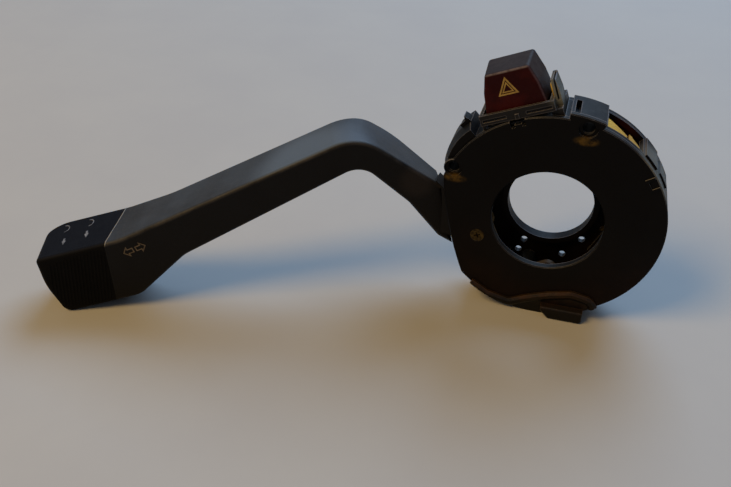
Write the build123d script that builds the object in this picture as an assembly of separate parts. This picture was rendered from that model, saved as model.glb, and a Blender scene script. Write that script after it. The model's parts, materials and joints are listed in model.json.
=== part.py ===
"""Combination stalk switch for a steering column.

A flat ring housing goes round the column.  A cranked stalk leaves it on the left and works the turn
signals and the headlamp flasher, and a hazard push knob stands on its top.  Lengths are in millimetres
and angles in degrees.

Frame: the origin is on the column axis, in the plane of the housing's rear face.  +Y points along the
column away from the driver, +Z is up with the switch standing on its rim and on the tip of its stalk,
and the stalk leaves towards -X.  Standing like that, the switch is rolled about +Y, so the hazard knob
points along hazard_angle instead of straight up.
"""

import math
import os

from build123d import *

# ---------------------------------------------------------------- driving dimensions
# ring housing
ring_radius = 44.0
ring_depth = 20.0
rim_wall = 2.0
back_wall = 2.4
cover_wall = 2.2
column_bore_radius = 17.1
bore_lip_wall = 2.2
bore_lip_length = 4.8
sight_hole_radius = 1.4
sight_holes = ((22.4, -112.0), (28.0, -111.6), (26.3, -72.3), (22.1, -48.2))
cover_opening_radius = 21.6
collar_wall = 1.7
collar_length = 0.8

# the flat on the left of the ring, where the stalk comes out
exit_top_angle = 161.5
exit_bottom_angle = 224.5
exit_gap_bottom_angle = 220.0
exit_flat_depth = 4.8

# fixing holes for the long screws that clamp the switch to the column
fixing_circle_inset = 2.0
fixing_angles = (155.0, 77.0)
fixing_hole_radius = 2.3
fixing_boss_radius = 3.5
fixing_ear_radius = 3.8
counterbore_radius = 3.5
counterbore_depth = 1.0

# raised pad over the upper fixing screw, with a slot beside it, and low blocks beyond the window
pad_start_angle = 70.5
pad_end_angle = 87.0
pad_height = 2.1
pad_slot_angle = 84.2
pad_slot_half_angle = 1.2
pad_slot_rear = -6.4
pad_slot_depth = 2.8
rim_blocks = ((37.5, 46.5, 0.9, -2.4, -16.5), (25.0, 33.5, 0.7, -4.0, -14.0))
# U-shaped latch on the front edge, as (radius from the axis, angle)
latch_angle = 33.0
latch_half_width = 2.6
latch_wall = 0.8
latch_depth = 3.6
latch_height = 0.5

# notch in the top of the cover
cover_notch_depth = 2.8
cover_notch_start = 107.7
cover_notch_end = 115.3

# apron and foot at the bottom of the front; its wavy edge as (depth in from the rim, angle)
apron_edge = ((0.0, -128.0), (1.9, -117.0), (3.0, -104.0), (8.3, -93.0), (10.8, -80.0), (10.4, -66.0),
              (5.5, -57.0), (0.0, -57.5))
apron_height = 0.7
apron_bend = 4.0
apron_bead_width = 3.6
apron_bead_height = 1.7
apron_bead_flat = 1.4
apron_bead_shoulder = 1.0
foot_left = 3.0
foot_right = 20.0
foot_height = 5.5
foot_reach = 4.0
foot_slope = 3.5
foot_round = 0.8

# panel and clip on the rim beside the hazard switch; the panel's outside as (height above the rim, angle)
panel_crown = ((4.8, 134.0), (4.9, 139.0), (4.5, 145.0), (3.4, 152.0), (2.1, 158.0))
panel_rear = -2.6
panel_front = -18.6
panel_bevel_height = 2.8
panel_bevel_length = 5.0
clip_angle = 135.8
clip_half_width = 2.4
clip_base_height = 1.2
clip_height = 3.2
clip_front = -14.0
clip_rear = -9.0

# assembly clearances
running_gap = 0.3
seat_gap = 0.1
pin_gap = 0.05
blind_floor = 1.0
edge_chamfer = 0.4

# hazard switch, in its own directions: across, up (away from the column axis) and along the column
hazard_angle = 111.0
knob_base_rise = 3.8
knob_height = 14.4
knob_top_half_width = 7.9
knob_base_half_width = 11.3
knob_top_front = -17.1
knob_top_rear = -1.4
knob_base_front = -17.4
knob_base_rear = -1.6
knob_wall = 1.5
knob_edge_round = 1.3
knob_top_rise = 1.0
knob_side_bulge = 0.7
knob_flare = 0.9
hazard_travel = 5.0
socket_wall = 1.4
socket_lip_rise = 4.0
socket_seat_wall = 4.8
bracket_right = 16.2
bracket_rise = 10.4
bracket_front = -15.0
bracket_rear = -6.0
bracket_slope_start = 6.0
bracket_wall = 0.8
lip_groove_depth = 0.9
lip_groove_low = 1.2
lip_groove_high = 2.3
lip_slots = ((-13.0, -4.0), (3.5, 13.0))
rim_seat_wall = 2.0
plunger_half_width = 4.2
plunger_half_depth = 4.0
plunger_centre = -10.0
plunger_foot_depth = 10.5
guide_floor_depth = 16.5
guide_wall = 1.2
hazard_spring_radius = 2.3
hazard_spring_wire = 0.6
hazard_spring_turns = 3
spring_pocket_gap = 0.8
latch_pin_radius = 0.45
latch_groove_width = 1.6
latch_groove_depth = 1.0
latch_pin_depth = 5.9
spring_pocket_depth = 8.0
lamp_radius = 1.6
lamp_length = 7.0

# turn-signal carrier, which swings on a screw that runs along the column
pivot_inset = 17.7
pivot_z = -11.2
pivot_radius = 1.5
pivot_head_radius = 2.8
pivot_head_height = 1.3
pivot_boss_radius = 3.6
pivot_boss_top = -5.2
carrier_front = -17.2
carrier_rear = -5.5
carrier_hub_radius = 4.7
carrier_nose_reach = 9.6
carrier_nose_half_height = 4.7
carrier_nose_angle = 165.0
detent_angle = -66.0
detent_reach = 19.2
detent_radius = 2.2
detent_bore_start = 7.0
tail_half_width = 3.8
tail_end = 16.0
track_gap = 0.3
track_wall = 2.4
track_notch_depth = 1.1
track_half_angle = 17.0
track_front = -14.0
detent_centre = -10.5
detent_plunger_start = 9.5
detent_spring_radius = 1.2
detent_spring_wire = 0.4
detent_spring_turns = 3
contact_arm = ((-1.3, 3.2), (-1.3, 13.2), (-3.3, 17.2), (-3.3, 22.2), (1.7, 22.2), (1.9, 15.2), (2.3, 5.2))
contact_arm_rear = -6.0
contact_arm_wall = 2.4
contact_pad = (-0.8, 20.6)
contact_pitch = 1.7
contact_rivet_radius = 0.7

# stalk: an upright flat bar, cranked once, that comes towards the driver as it goes out
stalk_plan_angle = 24.0
stalk_front_offset = 3.5
stalk_depth = 20.4
paddle_depth = 25.2
neck_depth = 8.6
hump_stand_off = 18.5
hump_depth = 25.2
hump_length = 22.0
stalk_edge_round = 1.8
paddle_corner_round = 10.0
crest_reach = 79.2
crest_height = 30.6
crest_round = 18.0
crest_section = 13.4
inner_crest_round = 10.0
root_stand_off = 1.0
root_top_height = 5.8
root_tuck = 5.0
root_bottom_height = -22.7
kink_stand_off = 14.5
kink_height = -1.0
root_bulge_reach = 1.5
root_bulge_height = -18.2
shoulder_reach = 176.0
shoulder_height = -10.1
throat_reach = 151.0
throat_section = 20.0
heel_reach = 171.4
paddle_section = 30.0
toe_reach = 203.5
toe_drop = 0.7
tip_reach = 210.0
tip_height = -17.3
tip_belly = 1.2
tip_belly_height = -30.5
cap_reach = 181.3
cap_lean = 12.0
flash_pin_reach = 6.6
flash_pin_radius = 1.25
prong_start = 4.2
prong_wall = 3.4
prong_front = -15.0
prong_rear = -7.4
prong_root = 14.0
web_top = (-19.2, 19.2)
web_far = (-22.7, 12.2)
web_low = (-16.2, -4.8)

# contact block behind the window in the rim
window_start_angle = 47.5
window_end_angle = 69.0
window_front = -15.5
window_rear = -3.4
strip_thickness = 0.6
window_gap = 0.4
strip_places = ((58.0, 68.6, -6.8, -12.2), (49.5, 56.5, -9.4, -12.6))
contact_block_inner_radius = 25.0
contact_block_start_angle = 30.0
contact_block_end_angle = 70.0
contact_block_front = -9.6
contact_block_wall = 2.2

# cancelling pawl at the bottom of the column opening
pawl_pivot_x = -5.5
pawl_pivot_z = -29.0
pawl_tip_x = 3.2
pawl_tip_z = -24.6
pawl_tip_radius = 3.6
pawl_hub_radius = 3.2
pawl_pin_radius = 1.2
pawl_peg_radius = 0.8
pawl_peg_share = 0.64
pawl_front = -16.8
pawl_rear = -14.4
pawl_spring_wire = 0.6

# plug on the back
plug_centre_angle = -25.0
plug_centre_inset = 12.5
plug_half_length = 11.0
plug_half_width = 5.2
plug_depth = 8.0
plug_wall = 1.2
blade_width = 2.8
blade_thickness = 0.8
blade_rows = 2
blade_columns = 5
blade_pitch = 4.0
blade_length = 6.0

# ---------------------------------------------------------------- derived places
front_face = -ring_depth
cover_rear = front_face + cover_wall
rim_inner_radius = ring_radius - rim_wall
collar_outer_radius = cover_opening_radius + collar_wall
bore_lip_radius = column_bore_radius + bore_lip_wall
well_half_width = knob_base_half_width + knob_flare + running_gap
socket_half_width = well_half_width + socket_wall
fixing_circle_radius = ring_radius - fixing_circle_inset
cover_notch_radius = ring_radius - cover_notch_depth
plug_centre_radius = ring_radius - plug_centre_inset
knob_base_height = ring_radius + knob_base_rise
knob_top_height = knob_base_height + knob_height
socket_lip_height = ring_radius + socket_lip_rise
bracket_height = ring_radius + bracket_rise
well_floor = knob_base_height - hazard_travel - running_gap
socket_seat_height = well_floor - socket_seat_wall
plunger_foot_height = well_floor - plunger_foot_depth
guide_floor_height = well_floor - guide_floor_depth
latch_pin_height = well_floor - latch_pin_depth
lamp_offset = plunger_half_width + running_gap + lamp_radius + 2 * seat_gap
pivot_x = pivot_inset - ring_radius
root_reach = ring_radius + root_stand_off
root_bottom_reach = ring_radius - root_tuck
kink_reach = ring_radius + kink_stand_off
hump_reach = ring_radius + hump_stand_off

os.makedirs("parts", exist_ok=True)


# ---------------------------------------------------------------- helpers
def polar(radius, angle, centre=(0.0, 0.0)):
    """Point at a radius and angle about a centre, in the ring's own plane."""
    turn = math.radians(angle)
    return (centre[0] + radius * math.cos(turn), centre[1] + radius * math.sin(turn))


def ring_plane(y, angle=90.0):
    """Plane across the column at y, seen by the driver, with its second axis along angle."""
    turn = math.radians(angle)
    return Plane(origin=(0, y, 0), x_dir=(math.sin(turn), 0, -math.cos(turn)), z_dir=(0, -1, 0))


def slab(outline, rear, front, angle=90.0):
    """Outline in the ring's plane, made solid from its rear y to its front y."""
    return extrude(ring_plane(rear, angle) * outline, amount=rear - front)


def hazard_slab(outline, rear, front):
    """The same in the hazard switch's own directions."""
    return slab(outline, rear, front, hazard_angle)


def box_outline(left, bottom, right, top):
    """Rectangle given by its sides."""
    return Pos((left + right) / 2, (bottom + top) / 2) * Rectangle(right - left, top - bottom)


def ring_sector(inner, outer, start, end):
    """Piece of a flat ring between two radii and two angles."""
    return make_face([
        Line(polar(inner, start), polar(outer, start)),
        CenterArc((0, 0), outer, start, end - start),
        Line(polar(outer, end), polar(inner, end)),
        CenterArc((0, 0), inner, end, start - end),
    ])


def ring_outline(radius):
    """Disc with the flat on its left, bowed a little, where the stalk comes out."""
    top = polar(radius, exit_top_angle)
    bottom = polar(radius, exit_bottom_angle)
    middle_angle = (exit_top_angle + exit_bottom_angle) / 2
    middle = polar(radius - exit_flat_depth, middle_angle)
    return make_face([
        CenterArc((0, 0), radius, exit_bottom_angle - 360, 360 - exit_bottom_angle + exit_top_angle),
        ThreePointArc(top, middle, bottom),
    ])


def on_ring(outline, radius, angle):
    """Outline moved to a place on the ring."""
    return Pos(*polar(radius, angle)) * outline


def along_pivot(distance, angle):
    """Point at a distance and angle from the carrier's pivot."""
    return polar(distance, angle, (pivot_x, pivot_z))


def named(node, shape, colour):
    """Write one sub-part to its own file."""
    shape.label = node
    shape.color = Color(*colour)
    export_step(shape, "parts/" + node + ".step")
    return shape


def coil(radius, wire, turns, length):
    """Closed coil spring along +Z from the origin."""
    pitch = length / turns
    path = Helix(pitch=pitch, height=length, radius=radius)
    start = path @ 0
    section = Plane(origin=start, z_dir=path % 0) * RegularPolygon(wire / 2, 4)
    return sweep(section, path=path, is_frenet=True)


# ---------------------------------------------------------------- ring housing
def hazard_notch(floor):
    """Opening in the top of the ring, down to a floor, that the hazard socket fills."""
    outline = box_outline(-socket_half_width - seat_gap, floor, bracket_right + seat_gap, bracket_height + ring_radius)
    return hazard_slab(outline, ring_depth, cover_rear)


def rear_plate():
    """Back plate of the ring with the bore lip, the pivot boss and the stub for the cancelling pawl."""
    plate = slab(ring_outline(ring_radius) - Circle(column_bore_radius), 0, -back_wall)
    plate += slab(Circle(bore_lip_radius) - Circle(column_bore_radius), 0, -bore_lip_length)
    # boss under the carrier's pivot screw, and the blind hole that the screw cuts into
    pivot = Pos(pivot_x, pivot_z)
    plate += slab(pivot * Circle(pivot_boss_radius), 0, pivot_boss_top)
    plate -= slab(pivot * Circle(pivot_radius + pin_gap), -blind_floor, pivot_boss_top)
    # stub that carries the cancelling pawl's pin
    pawl = Pos(pawl_pivot_x, pawl_pivot_z)
    plate += slab(pawl * Circle(pawl_hub_radius), 0, pawl_rear + running_gap)
    plate -= slab(pawl * Circle(pawl_pin_radius + pin_gap), -blind_floor, pawl_front)
    # hazard notch, fixing holes, sight holes and the plug's slot
    plate -= hazard_notch(socket_seat_height - seat_gap)
    for angle in fixing_angles:
        plate -= slab(on_ring(Circle(fixing_hole_radius), fixing_circle_radius, angle), 1, front_face)
    for radius, angle in sight_holes:
        plate -= slab(on_ring(Circle(sight_hole_radius), radius, angle), 1, -back_wall - 1)
    return plate - plug_shape(-seat_gap, 1, -back_wall - 1)


def rear_housing():
    """Rim wall of the ring: fixing bosses, the pad and blocks that stand out of it, and the socket's seat."""
    rim = slab(ring_outline(ring_radius) - ring_outline(rim_inner_radius), -back_wall, cover_rear)
    # the rim stops where the stalk comes out
    gap = ring_sector(rim_inner_radius - exit_flat_depth, ring_radius + exit_flat_depth, exit_top_angle,
                      exit_gap_bottom_angle)
    rim -= slab(gap, 1, front_face)
    for angle in fixing_angles:
        rim += slab(on_ring(Circle(fixing_boss_radius), fixing_circle_radius, angle), -back_wall, cover_rear)
    pad = ring_sector(rim_inner_radius, ring_radius + pad_height, pad_start_angle, pad_end_angle)
    rim += slab(pad, -back_wall, cover_rear)
    slot = ring_sector(ring_radius + pad_height - pad_slot_depth, ring_radius + 2 * pad_height,
                       pad_slot_angle - pad_slot_half_angle, pad_slot_angle + pad_slot_half_angle)
    rim -= slab(slot, pad_slot_rear, front_face)
    for start, end, height, rear, front in rim_blocks:
        rim += slab(ring_sector(rim_inner_radius + rim_wall / 2, ring_radius + height, start, end), rear, front)
    # notch for the hazard socket, and the flat seat across its bottom with a hole for the guide sleeve
    seat_top = socket_seat_height - seat_gap
    rim -= hazard_notch(seat_top)
    chord = box_outline(-ring_radius, seat_top - rim_seat_wall, ring_radius, seat_top) & Circle(rim_inner_radius)
    rim += hazard_slab(chord, -back_wall, cover_rear)
    sleeve = plunger_half_width + running_gap + guide_wall + running_gap
    rim -= hazard_slab(box_outline(-sleeve, 0, sleeve, seat_top + rim_seat_wall),
                       plunger_centre + sleeve + strip_thickness, plunger_centre - sleeve - strip_thickness)
    window = ring_sector(rim_inner_radius - 1, ring_radius + 4, window_start_angle, window_end_angle)
    rim -= slab(window, window_rear, window_front)
    for angle in fixing_angles:
        rim -= slab(on_ring(Circle(fixing_hole_radius), fixing_circle_radius, angle), 1, front_face)
    return rim


def bevelled_plate(outline):
    """Outline made a piece of the cover, with a small bevel along its front edge."""
    plate = slab(outline, cover_rear, front_face)
    return chamfer(plate.faces().sort_by(Axis.Y)[0].edges(), edge_chamfer)


def front_cover():
    """Flat front plate with the collar round the column opening, its ears and the latch on its right edge."""
    plate = bevelled_plate(ring_outline(ring_radius))
    for angle in fixing_angles:
        plate += bevelled_plate(on_ring(Circle(fixing_ear_radius), fixing_circle_radius, angle))
    pad = ring_sector(collar_outer_radius, ring_radius + pad_height, pad_start_angle, pad_end_angle)
    plate += bevelled_plate(pad)
    plate += slab(Circle(collar_outer_radius), cover_rear + collar_length, front_face + edge_chamfer)
    opening = slab(Circle(cover_opening_radius), cover_rear + cover_wall, front_face)
    mouth = extrude(ring_plane(front_face) * Circle(cover_opening_radius + edge_chamfer), amount=-2 * edge_chamfer,
                    taper=45)
    plate -= opening + mouth
    for angle in fixing_angles:
        plate -= slab(on_ring(Circle(fixing_hole_radius), fixing_circle_radius, angle), 1, front_face - 1)
        bore = on_ring(Circle(counterbore_radius), fixing_circle_radius, angle)
        plate -= slab(bore, front_face + counterbore_depth, front_face - 1)
    latch_top = ring_radius - seat_gap - edge_chamfer
    loop = box_outline(-latch_half_width, latch_top - latch_depth, latch_half_width, latch_top)
    loop -= box_outline(latch_wall - latch_half_width, latch_top - latch_depth + latch_wall,
                        latch_half_width - latch_wall, latch_top)
    plate += slab(loop & Circle(latch_top), cover_rear, front_face - latch_height, latch_angle)
    # seat of the carrier's pivot screw
    pivot = Pos(pivot_x, pivot_z)
    plate -= slab(pivot * Circle(pivot_radius + pin_gap), 1, front_face - 1)
    plate -= slab(pivot * Circle(pivot_head_radius + seat_gap), front_face + pivot_head_height, front_face - 1)
    # notch in the top of the plate with a small locating tab left in it
    notch = ring_sector(cover_notch_radius, ring_radius + 1, cover_notch_start, cover_notch_end)
    tab = ring_sector(cover_notch_radius - 1, cover_notch_radius + 1, cover_notch_start + 2, cover_notch_end - 2)
    plate -= slab(notch - tab, 1, front_face - 1)
    return plate


def wavy_line(shift):
    """Line along the apron's wavy edge, moved towards the rim by a distance."""
    inner = [polar(ring_radius - depth + shift, angle) for depth, angle in apron_edge[1:-1]]
    return FilletPolyline(polar(ring_radius, apron_edge[0][-1]), *inner, polar(ring_radius, apron_edge[-1][-1]),
                          radius=apron_bend)


def lower_apron():
    """Apron with a rounded bead along its wavy edge across the bottom of the front, and the foot block below it."""
    rim = CenterArc((0, 0), ring_radius, apron_edge[0][-1], apron_edge[-1][-1] - apron_edge[0][-1])
    apron = slab(make_face([wavy_line(0), rim]), front_face, front_face - apron_height)
    path = ring_plane(front_face) * wavy_line(apron_bead_width / 2)
    side = apron_bead_width / 2
    flat = apron_bead_flat / 2
    profile = Polyline((apron_height, -side), (-apron_bead_shoulder, -side), (-apron_bead_height, -flat),
                       (-apron_bead_height, flat), (-apron_bead_shoulder, side), (apron_height, side), close=True)
    bead = sweep(Plane(origin=path @ 0, z_dir=path % 0, x_dir=(0, 1, 0)) * make_face(profile), path=path)
    apron += bead & slab(Circle(ring_radius), front_face, front_face - foot_reach)
    outline = make_face(Polyline(
        (foot_left + foot_slope, -ring_radius), (foot_right - foot_round, -ring_radius),
        (foot_right, foot_round - ring_radius), (foot_right, foot_height - ring_radius),
        (foot_left, foot_height - ring_radius), (foot_left, foot_slope - ring_radius), close=True))
    foot = slab(outline, front_face, front_face - foot_reach)
    foot = fillet(foot.faces().sort_by(Axis.Y)[0].edges(), foot_round)
    return apron + foot


def side_panel():
    """Curved panel clipped on the rim beside the hazard switch, with a wide bevel along its front."""
    start = panel_crown[0][-1]
    end = panel_crown[-1][-1]
    inner = ring_radius + seat_gap
    crown = Spline(*[polar(ring_radius + height, angle) for height, angle in panel_crown])
    outline = make_face([
        CenterArc((0, 0), inner, start, end - start), crown,
        Line(polar(inner, start), crown @ 0), Line(polar(inner, end), crown @ 1),
    ])
    panel = slab(outline, panel_rear, panel_front)
    front_edges = panel.faces().sort_by(Axis.Y)[0].edges()
    outer = front_edges.sort_by(lambda edge: Vector((edge @ 0.5).X, 0, (edge @ 0.5).Z).length)[-1]
    slope = panel.faces().sort_by(Axis.Y)[0]
    panel = chamfer(outer, panel_bevel_height * 0.55, panel_bevel_length, reference=slope)
    for angle in fixing_angles:
        panel -= slab(on_ring(Circle(fixing_ear_radius + seat_gap), fixing_circle_radius, angle), 1, front_face - 1)
    return panel


def retaining_clip():
    """Pointed spring clip that stands on the end of the side panel."""
    root = ring_radius + max(height for height, angle in panel_crown)
    blade = make_face(Polyline(
        (-clip_half_width, root - 1), (-clip_half_width, root + clip_base_height),
        (0.4, root + clip_base_height + 0.3), (clip_half_width - 1.2, root + clip_height),
        (clip_half_width - 0.5, root + clip_base_height), (clip_half_width, root - 1), close=True))
    block = slab(blade, clip_rear, clip_front, clip_angle)
    return block - slab(Circle(root + seat_gap / 2), 1, front_face - 1)


# ---------------------------------------------------------------- hazard switch
def hazard_box(half_width, rear, front, bottom, top, centre=0.0):
    """Box in the hazard switch's directions."""
    return hazard_slab(box_outline(centre - half_width, bottom, centre + half_width, top), rear, front)


def hazard_socket():
    """Collar that the knob sinks into, its side bracket and the guide for the plunger."""
    right = bracket_right
    side = socket_half_width
    rear = -seat_gap
    body = hazard_slab(box_outline(-side, socket_seat_height, right, ring_radius), rear, cover_rear + seat_gap)
    body += hazard_slab(box_outline(-side, ring_radius, side, socket_lip_height), rear, cover_rear + seat_gap)
    # lip over the top edge of the cover, with a groove along it
    lip_low = ring_radius + pad_height
    lip_front = knob_base_front - running_gap - socket_wall
    body += hazard_slab(box_outline(-side, ring_radius + seat_gap, side, socket_lip_height),
                        cover_rear + seat_gap, lip_front)
    for start, end in lip_slots:
        slot = box_outline(start, ring_radius + lip_groove_low, end, ring_radius + lip_groove_high)
        body -= hazard_slab(slot, lip_front + lip_groove_depth, front_face)
    body += hazard_slab(box_outline(-0.7, ring_radius + seat_gap, 0.7, lip_low), lip_front, lip_front - seat_gap * 4)
    # bracket beside the knob: two thin walls with a channel between them
    outline = make_face(Polyline(
        (side - seat_gap, ring_radius), (side - seat_gap, bracket_height), (right - bracket_wall, bracket_height),
        (right, bracket_height - bracket_slope_start), (right, ring_radius), close=True))
    bracket = hazard_slab(outline, bracket_rear, bracket_front)
    channel = box_outline(side + bracket_wall, ring_radius + lip_groove_high, right - bracket_wall,
                          bracket_height + bracket_wall)
    body += bracket - hazard_slab(channel, bracket_rear - 2 * bracket_wall, front_face)
    # well that the knob's skirt sinks into
    body -= hazard_slab(box_outline(-well_half_width, well_floor, well_half_width, knob_top_height),
                        knob_base_rear + running_gap, knob_base_front - running_gap)
    # guide sleeve, closed at its foot
    half_width = plunger_half_width + running_gap
    half_depth = plunger_half_depth + running_gap
    sleeve = hazard_box(half_width + guide_wall, plunger_centre + half_depth + guide_wall,
                        plunger_centre - half_depth - guide_wall, guide_floor_height - guide_wall,
                        socket_seat_height + 1)
    bore = hazard_box(half_width, plunger_centre + half_depth, plunger_centre - half_depth,
                      guide_floor_height, knob_base_height)
    body = body + sleeve - bore
    # hole for the latch pin in the front of the sleeve
    return body - hazard_latch_axis() * Cylinder(latch_pin_radius + pin_gap, 4 * guide_wall)


def hazard_latch_axis():
    """Where the latch pin goes through the front of the sleeve, along the column."""
    height = latch_pin_height
    turn = math.radians(hazard_angle)
    front = plunger_centre - plunger_half_depth - running_gap - guide_wall / 2
    return Plane(origin=(height * math.cos(turn), front, height * math.sin(turn)), z_dir=(0, -1, 0))


def hazard_latch_pin():
    """Small pin whose end follows the latch groove in the plunger."""
    reach = running_gap + guide_wall / 2 + latch_groove_depth - running_gap
    outside = guide_wall / 2 + 0.6
    pin = Pos(0, 0, (outside - reach) / 2) * Cylinder(latch_pin_radius, outside + reach)
    return hazard_latch_axis() * pin


def hazard_plunger():
    """Sliding stem under the knob, with the latch groove and the spring's pocket."""
    stem = hazard_box(plunger_half_width, plunger_centre + plunger_half_depth,
                      plunger_centre - plunger_half_depth, plunger_foot_height, knob_seat_height())
    pocket = Plane(origin=hazard_point(plunger_foot_height), z_dir=hazard_direction())
    stem -= pocket * Pos(0, 0, spring_pocket_depth / 2) * Cylinder(hazard_spring_radius + spring_pocket_gap, spring_pocket_depth)
    # heart-shaped latch groove, kept to its two straight legs and their cross bar
    front = plunger_centre - plunger_half_depth
    half = latch_groove_width / 2
    low = latch_pin_height - half
    high = latch_pin_height + hazard_travel + half
    groove = box_outline(-half, low, half, high) + box_outline(-half, low, 3 * half, low + latch_groove_width)
    groove += box_outline(half, low, 3 * half, high - latch_groove_width)
    return stem - hazard_slab(groove, front + latch_groove_depth, front - 1)


def hazard_direction():
    """Unit vector of the hazard switch's travel, outward."""
    turn = math.radians(hazard_angle)
    return (math.cos(turn), 0, math.sin(turn))


def hazard_point(height, y=None):
    """Point on the hazard switch's centre line."""
    turn = math.radians(hazard_angle)
    return (height * math.cos(turn), plunger_centre if y is None else y, height * math.sin(turn))


def knob_seat_height():
    """Height of the plunger's top, against the underside of the knob's roof."""
    return knob_top_height - knob_wall


def knob_solid(inset):
    """Block of the knob, which flares downward and backward, drawn in by a wall thickness on its sides."""
    spread = (knob_base_half_width - knob_top_half_width) / (knob_base_height - knob_top_height)
    low = knob_base_height - knob_wall
    high = knob_top_height + knob_top_rise + knob_wall
    flare = knob_flare - inset
    half_low = knob_base_half_width + flare + spread * (low - knob_base_height)
    half_high = knob_top_half_width + flare + spread * (high - knob_top_height)
    half_middle = (half_low + half_high) / 2 + knob_side_bulge
    middle = (low + high) / 2
    across = make_face(Polyline(
        (-half_low, low), (half_low, low), (half_middle, middle), (half_high, high),
        (-half_high, high), (-half_middle, middle), close=True))
    turn = math.atan2(knob_flare, knob_base_rear - knob_base_front)
    block = extrude(ring_plane(knob_base_rear, hazard_angle) * across, amount=knob_base_rear - front_face,
                    taper=math.degrees(turn))
    beside = make_face(Polyline(
        (knob_base_height, inset - knob_base_rear), (knob_base_height, -knob_base_front - inset),
        (knob_top_height, -knob_top_front - inset), (knob_top_height + knob_top_rise, inset - knob_top_rear),
        close=True))
    angle = math.radians(hazard_angle)
    side_view = Plane(origin=(0, 0, 0), x_dir=hazard_direction(), z_dir=(math.sin(angle), 0, -math.cos(angle)))
    return block & extrude(side_view * beside, amount=ring_radius, both=True)


def hazard_knob():
    """Translucent push knob: a flared cap with rounded edges, hollow from below."""
    block = knob_solid(0)
    base = block.faces().sort_by(lambda face: face.center().dot(Vector(*hazard_direction())))[0]
    upper = [edge for edge in block.edges() if all(edge.center() != other.center() for other in base.edges())]
    block = fillet(upper, knob_edge_round)
    hollow = knob_solid(knob_wall) - hazard_box(2 * ring_radius, ring_depth, -2 * ring_depth,
                                                knob_seat_height(), 2 * knob_top_height)
    return block - hollow


def hazard_return_spring():
    """Coil spring that pushes the plunger out."""
    floor = guide_floor_height
    length = plunger_foot_height + spring_pocket_depth - floor
    spring = coil(hazard_spring_radius, hazard_spring_wire, hazard_spring_turns, length - 2 * hazard_spring_wire)
    plane = Plane(origin=hazard_point(floor + hazard_spring_wire), z_dir=hazard_direction())
    return plane * spring


def hazard_contact_bridge():
    """Sprung brass bridge that the plunger carries behind its foot."""
    rear = plunger_centre + plunger_half_depth
    strip = box_outline(-plunger_half_width + 1, plunger_foot_height + 1, plunger_half_width - 1,
                        plunger_foot_height + 4)
    return hazard_slab(strip, rear + running_gap / 2, rear)


def hazard_fixed_contacts():
    """Two brass blades on the back of the guide sleeve."""
    back = plunger_centre + plunger_half_depth + running_gap + guide_wall
    blades = Part()
    for side in (-1, 1):
        left = side * 2.4 - 0.9
        blade = box_outline(left, guide_floor_height + 2, left + 1.8, socket_seat_height - seat_gap)
        blades += hazard_slab(blade, back + strip_thickness, back)
    return blades


def indicator_lamp():
    """Wedge-base lamp that lights the knob from inside."""
    plane = Plane(origin=lamp_point(well_floor), z_dir=hazard_direction())
    bulb = Pos(0, 0, lamp_length / 2) * Cylinder(lamp_radius, lamp_length)
    return plane * chamfer(bulb.edges().sort_by(Axis.Z)[-1], lamp_radius / 2)


def lamp_point(height):
    """Point on the lamp's axis."""
    across = Vector(math.sin(math.radians(hazard_angle)), 0, -math.cos(math.radians(hazard_angle)))
    return Vector(*hazard_point(height)) + across * lamp_offset


def lamp_contact_strip():
    """Brass strip up the inner side of the bracket."""
    inner = socket_half_width - seat_gap
    strip = box_outline(inner - strip_thickness, socket_lip_height, inner, bracket_height - 2)
    return hazard_slab(strip, bracket_front + 4, bracket_front + 1)


# ---------------------------------------------------------------- turn-signal mechanism
def carrier_frame(outline):
    """Outline given from the pivot, with its first axis along the carrier's nose."""
    return Pos(pivot_x, pivot_z) * Rot(0, 0, carrier_nose_angle) * outline


def flash_pin_plane():
    """Middle of the flash pin; its axis crosses the nose in the ring's plane."""
    x, z = along_pivot(flash_pin_reach, carrier_nose_angle)
    turn = math.radians(carrier_nose_angle - 90)
    return Plane(origin=(x, (prong_front + prong_rear) / 2, z), z_dir=(math.cos(turn), 0, math.sin(turn)))


def turn_carrier():
    """Carrier on the pivot screw: hub, nose for the stalk, detent tail and contact arm."""
    hub = slab(Pos(pivot_x, pivot_z) * Circle(carrier_hub_radius), carrier_rear, carrier_front)
    nose = carrier_frame(box_outline(0, -carrier_nose_half_height, carrier_nose_reach, carrier_nose_half_height))
    body = hub + slab(nose, prong_rear, prong_front)
    tail = Pos(pivot_x, pivot_z) * Rot(0, 0, detent_angle) * box_outline(0, -tail_half_width, tail_end,
                                                                         tail_half_width)
    tail_rear = detent_centre + detent_radius + 1.4
    tail_front = detent_centre - detent_radius - 1.4
    body += slab(tail, tail_rear, tail_front)
    arm = Pos(pivot_x, pivot_z) * make_face(Polyline(*contact_arm, close=True))
    body += slab(arm, contact_arm_rear, contact_arm_rear - contact_arm_wall)
    body -= slab(Pos(pivot_x, pivot_z) * Circle(pivot_radius + pin_gap), 1, front_face)
    body -= flash_pin_plane() * Cylinder(flash_pin_radius + pin_gap, 4 * carrier_nose_half_height)
    body -= detent_cylinder(detent_radius + pin_gap, detent_bore_start, tail_end + 1)
    return body


def detent_cylinder(radius, start, end):
    """Round bar along the detent's direction, from the pivot."""
    turn = math.radians(detent_angle)
    x, z = along_pivot((start + end) / 2, detent_angle)
    axis = Plane(origin=(x, detent_centre, z), z_dir=(math.cos(turn), 0, math.sin(turn)))
    return axis * Cylinder(radius, end - start)


def detent_plunger():
    """Round-nosed detent plunger, hollow for its spring."""
    nose = detent_reach - detent_radius
    outline = Pos(pivot_x, pivot_z) * Rot(0, 0, detent_angle) * (
        box_outline(0, -detent_radius, nose, detent_radius) + Pos(nose, 0) * Circle(detent_radius))
    bar = detent_cylinder(detent_radius, detent_plunger_start, detent_reach) & slab(outline, 0, front_face)
    return bar - detent_cylinder(detent_spring_radius + 0.5, detent_plunger_start, detent_plunger_start + 4)


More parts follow.
